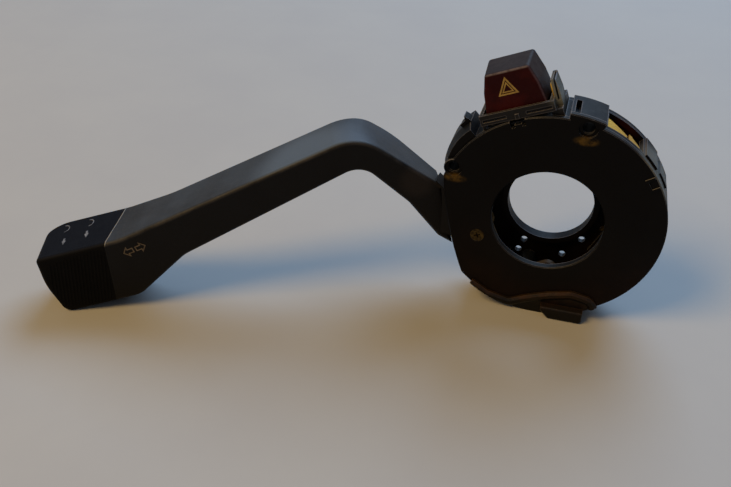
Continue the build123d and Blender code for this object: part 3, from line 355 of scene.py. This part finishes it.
def brass_strip():
    """Rolled and stamped brass, yellow with brown tarnish in cloudy patches and a fine rolling grain."""
    material, tree, shader, place = blank_material("stamped_brass_strip", Metallic=0.75)
    tarnish = patches(tree, place, 2.6, 0.45, 0.7, 5)
    layered(tree, shader, colour("#e8b53c"), [(colour("#7d5b16"), tarnish, 0.75)])
    # rolling marks about 0.1 mm apart, drawn at 0.35 mm so that they show
    worn_skin(tree, shader, tarnish, 0.3, 0.55, patches(tree, place, 0.35), 0.01)
    return material


def bronzed_steel():
    """Screw steel with an old yellow passivation gone brown, lighter and duller in patches."""
    material, tree, shader, place = blank_material("yellow_passivated_steel", Metallic=0.85)
    worn = patches(tree, place, 1.4, 0.4, 0.65, 5)
    layered(tree, shader, colour("#2c210f"), [(colour("#66532a"), worn, 0.6)])
    # pits in the plating of about 0.2 mm, drawn at 0.5 mm so that they show
    worn_skin(tree, shader, worn, 0.42, 0.6, patches(tree, place, 0.5), 0.03)
    return material


def spring_steel():
    """Drawn spring wire and turned pins: grey and oily, with faint brown spots."""
    material, tree, shader, place = blank_material("drawn_spring_steel", Metallic=1.0)
    spots = patches(tree, place, 1.2, 0.5, 0.75, 5)
    layered(tree, shader, colour("#8f8f8a"), [(colour("#5f4f3a"), spots, 0.5)])
    # drawing marks of about 0.05 mm, drawn at 0.3 mm so that they show
    worn_skin(tree, shader, spots, 0.28, 0.5, patches(tree, place, 0.3), 0.008)
    return material


def acetal():
    """Natural acetal, moulded: waxy cream that light enters a little, greyed by grease."""
    material, tree, shader, place = blank_material("natural_acetal", IOR=1.48, Subsurface_Weight=0.1,
                                                   Subsurface_Radius=(1.0, 0.8, 0.55), Subsurface_Scale=0.001)
    layered(tree, shader, colour("#a39069"), [(colour("#5e4a2c"), patches(tree, place, 6, 0.4, 0.7), 0.7)])
    # flow marks about 0.5 mm wide
    worn_skin(tree, shader, patches(tree, place, 5), 0.35, 0.5, patches(tree, place, 0.5), 0.015)
    return material


def phenolic():
    """Brown phenolic moulding with wood-flour flecks."""
    material, tree, shader, place = blank_material("brown_phenolic", IOR=1.6, Specular_IOR_Level=0.1)
    layered(tree, shader, colour("#1e1405"), [
        (colour("#35260d"), patches(tree, place, 4)),
        (colour("#6a5632"), patches(tree, place, 0.6, 0.55, 0.8), 0.35)])
    # grains of wood flour, 0.2 to 0.6 mm across
    worn_skin(tree, shader, patches(tree, place, 3), 0.5, 0.65, patches(tree, place, 0.4), 0.02)
    return material


def contact_board():
    """Dark red-brown laminated paper board behind the contact strips."""
    material, tree, shader, place = blank_material("red_brown_paper_laminate", IOR=1.55, Specular_IOR_Level=0.3)
    layered(tree, shader, colour("#1c0b06"), [(colour("#32150a"), patches(tree, place, 3, 0.4, 0.7), 0.8)])
    # fibres and pressing marks of the paper, about 0.5 mm wide
    worn_skin(tree, shader, patches(tree, place, 4), 0.4, 0.6, patches(tree, place, 0.5), 0.02)
    return material


def lamp_glass():
    """Drawn lamp glass: clear, with the faint ripple of a glass tube."""
    material, tree, shader, place = blank_material("clear_lamp_glass", IOR=1.5, Transmission_Weight=0.9)
    layered(tree, shader, colour("#eef2f0"), [(colour("#cfd4cf"), patches(tree, place, 2), 0.6)])
    # ripple of the tube, 1 to 2 mm from wave to wave
    worn_skin(tree, shader, patches(tree, place, 2), 0.05, 0.14, patches(tree, place, 1.0), 0.02)
    return material


def print_ink(name, fresh, faded, wear):
    """Pad-printed enamel ink, a few hundredths thick, rubbed through to the plastic in spots."""
    material, tree, shader, place = blank_material(name, IOR=1.5, Specular_IOR_Level=0.3)
    layered(tree, shader, colour(fresh), [(colour(faded), patches(tree, place, 1.4, 0.4, 0.62, 6), wear)])
    # pinholes of about 0.1 mm, drawn at 0.3 mm so that they show
    worn_skin(tree, shader, patches(tree, place, 2), 0.4, 0.6, patches(tree, place, 0.3), 0.01)
    return material


finishes = {"black_plastic": ring_abs(), "red_plastic": knob_acrylic(), "cream_plastic": acetal(),
            "brown_plastic": phenolic(), "brass": brass_strip(), "spring_steel": spring_steel(),
            "lamp_glass": lamp_glass()}
own_finish = {"lever_stalk": stalk_abs(), "lever_end_cap": cap_abs(), "hazard_socket": socket_abs(),
              "lower_apron": greased_abs(), "carrier_pivot_screw": bronzed_steel(),
              "contact_block": contact_board()}
gold_ink = print_ink("gold_pad_print", "#a98b45", "#7d5f2c", 0.5)
cream_ink = print_ink("cream_pad_print", "#75644e", "#3c3226", 0.6)
white_ink = print_ink("white_pad_print", "#858992", "#363941", 0.75)

for part in frame["record"]["subparts"]:
    node = part["node"]
    for slot in nodes[node].material_slots:
        slot.material = own_finish.get(node) or finishes[part["material_slot"]]


# ---------------------------------------------------------------- frames and helpers for the new pieces
def surface_frame(origin, across, up):
    """Matrix from a flat place's own mm, x across it, y up it and z out of it, to the scene's metres."""
    across = Vector(across).normalized()
    outward = across.cross(Vector(up)).normalized()
    turn = Matrix((across, outward.cross(across), outward)).transposed().to_4x4()
    turn.translation = origin
    return Matrix.Scale(MM, 4) @ turn


def finish_piece(shape, name, place, body, finish):
    """Makes the object of a finished shape in its place, riding on a body unless none is given."""
    bmesh.ops.transform(shape, matrix=place, verts=shape.verts)
    bmesh.ops.recalc_face_normals(shape, faces=shape.faces)
    mesh = bpy.data.meshes.new(name)
    shape.to_mesh(mesh)
    shape.free()
    mesh.materials.append(finish)
    piece = bpy.data.objects.new(name, mesh)
    bpy.context.collection.objects.link(piece)
    if body:
        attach(piece, body)
    return piece


def thicken(shape, faces, height):
    """Raises flat faces into closed solids of a height."""
    raised = bmesh.ops.extrude_face_region(shape, geom=faces, use_keep_orig=True)["geom"]
    bmesh.ops.translate(shape, vec=(0, 0, height), verts=[v for v in raised if isinstance(v, bmesh.types.BMVert)])


stalk_front = surface_frame(stalk_back * stalk_front_offset, -stalk_out, upward)
paddle_start, paddle_end = (stalk_back * stalk_front_offset + stalk_out * out + upward * z
                            for out, z in (paddle_top_start, paddle_top_end))
cap_top = surface_frame(paddle_start, paddle_start - paddle_end, stalk_back)
knob_low, knob_high = (hazard_out * out + Vector((0, y, 0)) for out, y in (knob_front_low, knob_front_high))
knob_front = surface_frame(knob_low, hazard_across, knob_high - knob_low)


# ---------------------------------------------------------------- printed marks
def ink_outline(shape, corners, widths):
    """Outlines inside each other: widths are the steps inwards, a printed line and a gap by turns."""
    core = shape.faces.new([shape.verts.new((x, y, -ink_sink)) for x, y in corners])
    core.normal_update()
    printed = []
    bare = [core]
    for step, width in enumerate(widths):
        border = bmesh.ops.inset_region(shape, faces=[core], thickness=width, use_boundary=True,
                                         use_even_offset=True)["faces"]
        (bare if step % 2 else printed).extend(border)
    bmesh.ops.delete(shape, geom=bare, context="FACES")
    thicken(shape, printed, ink_sink + ink_height)


def hazard_triangle():
    """Warning triangle on the front of the knob: a broad outline with a thinner one inside it."""
    shape = bmesh.new()
    half_side, tall = 3.85, 6.9
    broad_line, gap, thin_line = 0.6, 0.34, 0.45
    left_of_middle, foot_from_hub = 1.2, 53.3
    ink_outline(shape, [(-half_side, 0), (half_side, 0), (0, tall)], (broad_line, gap, thin_line))
    place = knob_front @ Matrix.Translation((-left_of_middle, foot_from_hub - knob_front_low[0], 0))
    finish_piece(shape, "hazard_triangle", place, "hazard", gold_ink)


def turn_arrow(name, centre, side):
    """Outlined arrow along the stalk's leg; side is 1 for one that points at the ring and -1 for the other."""
    shape = bmesh.new()
    tail, neck, tip, half_shaft, half_head = 0.45, 2.6, 5.0, 1.15, 2.6
    line, leg_slope = 0.42, 20.0
    corners = [(tail, -half_shaft), (neck, -half_shaft), (neck, -half_head), (tip, 0),
               (neck, half_head), (neck, half_shaft), (tail, half_shaft)]
    corners = [(side * x, y) for x, y in corners]
    ink_outline(shape, corners, (line,))
    place = stalk_front @ Matrix.Translation((*centre, 0)) @ Matrix.Rotation(math.radians(leg_slope), 4, "Z")
    finish_piece(shape, name, place, "lever", cream_ink)


def headlamp_mark(name, bow_along, depth, arrow_from, arrow_to, half_width):
    """Lamp symbol on the cap's top, worn to an open bow and the solid arrow that points away from it."""
    shape = bmesh.new()
    radius, line, bow_angle, bow_start, flattened = 2.5, 0.42, -175, 95, 0.85
    stroke = [shape.verts.new((r, 0, -ink_sink)) for r in (radius - line / 2, radius + line / 2)]
    bmesh.ops.spin(shape, geom=[shape.edges.new(stroke), *stroke], cent=(0, 0, 0), axis=(0, 0, 1),
                   angle=math.radians(bow_angle), steps=16)
    bmesh.ops.rotate(shape, verts=shape.verts, cent=(0, 0, 0),
                     matrix=Matrix.Rotation(math.radians(bow_start), 3, "Z"))
    bmesh.ops.scale(shape, verts=shape.verts, vec=(flattened, 1, 1))
    bmesh.ops.translate(shape, verts=shape.verts, vec=(-bow_along, depth, 0))
    tail, tip = Vector(arrow_from), Vector(arrow_to)
    shaft_length, shaft_width = 0.4, 0.45
    neck = tail.lerp(tip, shaft_length)
    side = (tip - tail).normalized().orthogonal() * half_width
    shaft = side * shaft_width
    corners = [tip, neck + side, neck + shaft, tail + shaft, tail - shaft, neck - shaft, neck - side]
    shape.faces.new([shape.verts.new((-c.x, c.y, -ink_sink)) for c in corners])
    thicken(shape, shape.faces[:], ink_sink + ink_height)
    finish_piece(shape, name, cap_top, "lever", white_ink)


hazard_triangle()
arrows_centre = (-170.3, -14.75)
turn_arrow("turn_arrow_left", arrows_centre, -1)
turn_arrow("turn_arrow_right", arrows_centre, 1)
headlamp_mark("main_beam_mark", bow_along=15.9, depth=20.1, arrow_from=(15.4, 13.9), arrow_to=(15.0, 8.7),
              half_width=0.95)
headlamp_mark("dipped_beam_mark", bow_along=26.4, depth=19.9, arrow_from=(24.7, 12.0), arrow_to=(24.5, 7.3),
              half_width=0.9)


# ---------------------------------------------------------------- springs copied onto the bodies they ride on
def spring_copy(node, body):
    """Stands for a CAD spring with a copy of its mesh, which rides on a body unless none is given."""
    shape = bmesh.new()
    shape.from_mesh(nodes[node].data)
    bmesh.ops.remove_doubles(shape, verts=shape.verts, dist=same_point)
    piece = finish_piece(shape, node + "_wire", Matrix.Identity(4), body, finishes["spring_steel"])
    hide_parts(node)
    return piece


def compressing_spring(node, body):
    """Coil spring copied onto a body, with a mesh of its own."""
    piece = spring_copy(node, body)
    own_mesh(piece)


compressing_spring("hazard_return_spring", "housing")
compressing_spring("detent_spring", "carrier")
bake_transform(spring_copy("pawl_spring", None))


# ---------------------------------------------------------------- details of the paddle and the opening
def cap_seam():
    """Thin line of flash round the joint of cap and stalk, cut from the cap's own end."""
    shape = bmesh.new()
    shape.from_mesh(nodes["lever_end_cap"].data)
    bmesh.ops.remove_doubles(shape, verts=shape.verts, dist=same_point)
    bmesh.ops.dissolve_limit(shape, angle_limit=0.001, verts=shape.verts, edges=shape.edges)
    end = max((f for f in shape.faces if f.normal.dot(stalk_out) < -0.8), key=lambda f: f.calc_area())
    point, outward = end.calc_center_median(), end.normal.copy()
    bmesh.ops.bisect_plane(shape, geom=shape.verts[:] + shape.edges[:] + shape.faces[:], dist=1e-7,
                           plane_co=point - outward * seam_width * MM, plane_no=outward, clear_inner=True)
    ends = [f for f in shape.faces if abs(f.normal.dot(outward)) > 0.95]
    bmesh.ops.delete(shape, geom=ends, context="FACES")
    bmesh.ops.solidify(shape, geom=shape.faces[:], thickness=-seam_height * MM)
    finish_piece(shape, "cap_seam", Matrix.Identity(4), "lever", seam_abs())


def cut_away(shape, point, normal):
    """Cuts off what lies beyond a plane and closes the cut ends."""
    cut = bmesh.ops.bisect_plane(shape, geom=shape.verts[:] + shape.edges[:] + shape.faces[:], dist=1e-5,
                                 plane_co=point, plane_no=normal, clear_outer=True)["geom_cut"]
    edges = [e for e in cut if isinstance(e, bmesh.types.BMEdge)]
    bmesh.ops.edgeloop_fill(shape, edges=edges)


def hub_contact():
    """Small leaf held behind the cover, whose bent tip stands into the opening, gone as brown as the pivot screw."""
    shape = bmesh.new()
    middle, leaf = Vector((23.1, -16.8, -0.8)), (3.4, 0.4, 1.9, 1.0)
    bends, tip_narrowed, rounding = ((-0.7, -0.15, 0), (-0.5, -0.55, 0)), 0.6, 0.12
    bmesh.ops.create_cube(shape, size=1.0, matrix=Matrix.Translation(middle) @ Matrix.Diagonal(leaf))
    end = [f for f in shape.faces if f.normal.x < -0.9]
    for bend in bends:
        end = bmesh.ops.extrude_discrete_faces(shape, faces=end)["faces"]
        bmesh.ops.translate(shape, vec=bend, verts=end[0].verts)
    bmesh.ops.scale(shape, vec=(1, 1, tip_narrowed), space=Matrix.Translation((0, 0, -middle.z)), verts=end[0].verts)
    bmesh.ops.bevel(shape, geom=shape.edges[:], offset=rounding, segments=2, profile=0.5, affect="EDGES", material=-1)
    finish_piece(shape, "hub_contact", Matrix.Scale(MM, 4), "housing", own_finish["carrier_pivot_screw"])


def cap_grip_ribs():
    """Fine upright ribs on the cap's front, for the fingers, cut off along a line round the face."""
    shape = bmesh.new()
    first_rib, ribs, pitch, lean = (-205.5, -27.0), 18, 1.35, -6.5
    width, length, proud, sunk = 0.62, 40.0, 0.16, 0.3
    shoulder, shoulder_drop = 0.16, 0.09
    borders = (((-183.0, -15.2), (0.21, 1.0)), ((-201.5, -19.0), (-0.35, 1.0)), ((-207.6, -24.0), (-1.0, 0.04)),
               ((-205.0, -35.0), (-1.0, -0.33)), ((-195.0, -40.6), (-0.02, -1.0)), ((-182.2, -20.0), (1.0, 0.06)),
               ((-184.0, -38.6), (0.35, -1.0)))
    rib = Matrix.Rotation(math.radians(lean), 4, "Z") @ Matrix.Diagonal((width, length, proud + sunk, 1.0))
    for i in range(ribs):
        place = Matrix.Translation((first_rib[0] + i * pitch, first_rib[1], (proud - sunk) / 2))
        bmesh.ops.create_cube(shape, size=1.0, matrix=place @ rib)
    crowns = [f for f in shape.faces if f.normal.z > 0.9]
    bmesh.ops.inset_individual(shape, faces=crowns, thickness=shoulder)
    rims = [v for v in shape.verts if v.co.z > 0 and all(f not in crowns for f in v.link_faces)]
    bmesh.ops.translate(shape, vec=(0, 0, -shoulder_drop), verts=rims)
    for point, normal in borders:
        cut_away(shape, (*point, 0), (*normal, 0))
    finish_piece(shape, "cap_grip_ribs", stalk_front, "lever", own_finish["lever_end_cap"])


cap_seam()
cap_grip_ribs()
hub_contact()


# ---------------------------------------------------------------- floor, light and camera
def floor_sheet():
    """Pale tabletop that the ring's rim and the stalk's tip stand on."""
    shape = bmesh.new()
    half_side = 3.0
    bmesh.ops.create_grid(shape, x_segments=1, y_segments=1, size=half_side)
    bmesh.ops.translate(shape, vec=(0, 0, cad_box[0][2]), verts=shape.verts)
    mesh = bpy.data.meshes.new("tabletop")
    shape.to_mesh(mesh)
    shape.free()
    table = bpy.data.objects.new("tabletop", mesh)
    bpy.context.collection.objects.link(table)
    material, tree, shader, place = blank_material("pale_grey_laminate", Roughness=0.7)
    layered(tree, shader, colour("#bcbdbf"), [(colour("#bfc0c1"), patches(tree, place, 60))])
    mesh.materials.append(material)


def soft_light(name, place, aim, size, watts, tint):
    """Broad rectangular light in a place, turned towards a point, all in metres."""
    light = bpy.data.lights.new(name, "AREA")
    light.shape = "RECTANGLE"
    light.size, light.size_y = size
    light.energy = watts
    light.color = colour(tint)[:3]
    lamp = bpy.data.objects.new(name, light)
    lamp.location = place
    lamp.rotation_euler = (Vector(aim) - Vector(place)).to_track_quat("-Z", "Y").to_euler()
    bpy.context.collection.objects.link(lamp)


floor_sheet()
soft_light("window_behind", place=(0.3, 1.7, 1.9), aim=(-0.08, 0, 0), size=(2.0, 1.4), watts=45, tint="#b9dcff")
soft_light("lamp_before", place=(-1.1, -1.0, 1.7), aim=(-0.06, 0, 0), size=(0.9, 0.9), watts=26, tint="#ffd080")
world = bpy.data.worlds.new("studio")
world.use_nodes = True
backdrop = world.node_tree
backdrop.nodes.clear()
fill = add(backdrop, "ShaderNodeBackground", Color=colour("#ccd2da"), Strength=0.16)[0]
pale = add(backdrop, "ShaderNodeBackground", Color=colour("#c9cbce"), Strength=0.5)[0]
rays = add(backdrop, "ShaderNodeLightPath")
seen = rays["Is Camera Ray"]
for kind in ("Is Glossy Ray", "Is Transmission Ray"):
    seen = add(backdrop, "ShaderNodeMath", operation="MAXIMUM", in0=seen, in1=rays[kind])[0]
add(backdrop, "ShaderNodeOutputWorld", Surface=add(backdrop, "ShaderNodeMixShader", in0=seen, in1=fill, in2=pale)[0])
bpy.context.scene.world = world

camera = bpy.data.objects.new("camera", bpy.data.cameras.new("camera"))
bpy.context.collection.objects.link(camera)
camera.data.sensor_width, camera.data.lens = 36.0, 36.94
camera.data.clip_start, camera.data.clip_end = 0.01, 20.0
eye, looking = Vector((5.84, -275.66, 157.85)), Vector((-0.2454, 0.7885, -0.5640))
camera.location = eye * MM
camera.rotation_euler = looking.to_track_quat("-Z", "Y").to_euler()
bpy.context.scene.camera = camera
bpy.context.scene.view_settings.view_transform = "Standard"
